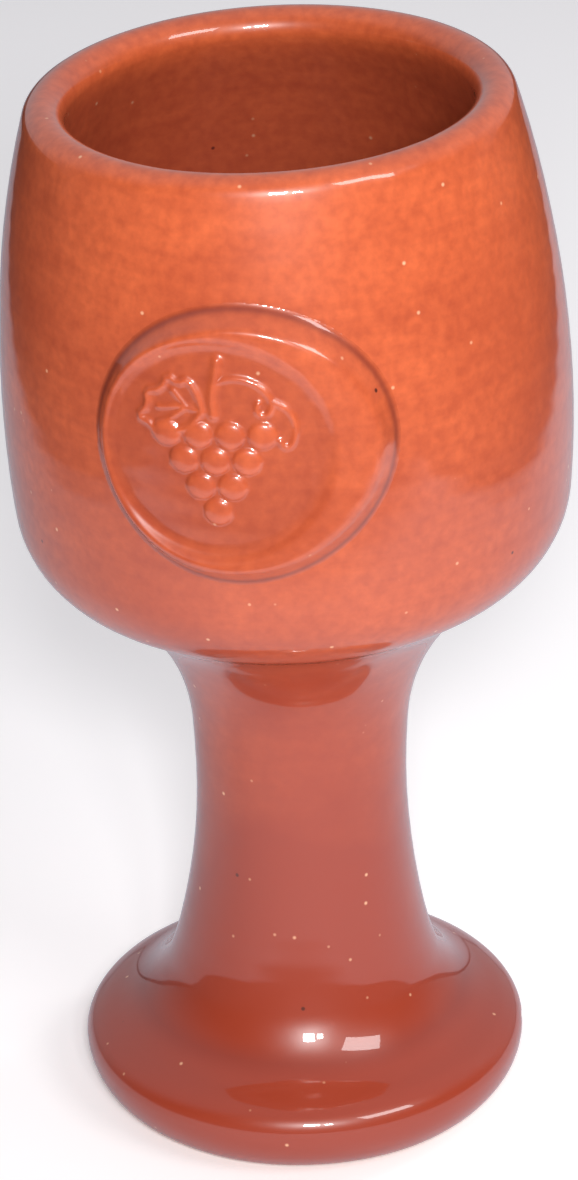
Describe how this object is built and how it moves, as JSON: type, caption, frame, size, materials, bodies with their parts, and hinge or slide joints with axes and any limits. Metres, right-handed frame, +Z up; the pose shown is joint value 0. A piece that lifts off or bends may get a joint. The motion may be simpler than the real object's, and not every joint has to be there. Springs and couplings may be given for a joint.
{
  "type": "communion chalice",
  "caption": "Hand-thrown pottery chalice: a deep rounded bowl with a round stamped seal on a flared hollow stem and domed foot, glazed over all but the foot ring",
  "frame": {"origin": "middle of the foot ring, on the surface that the chalice stands on", "axes": "+Z up through the bowl; the stamped seal faces -Y, a little towards -X"},
  "size_m": [0.0841, 0.0862, 0.1659],
  "materials": {
    "clay": "bare fired red earthenware",
    "slip": "fired joining slip",
    "glaze": "glossy clear amber glaze over red clay"
  },
  "bodies": {
    "root": {"bowl": "clay", "stem": "clay", "foot": "clay", "neck_coil": "clay", "seal_pad": "clay", "bowl_slip": "slip", "foot_slip": "slip", "seal_slip": "slip", "liner_glaze": "glaze", "outer_glaze": "glaze"}
  },
  "joints": []
}
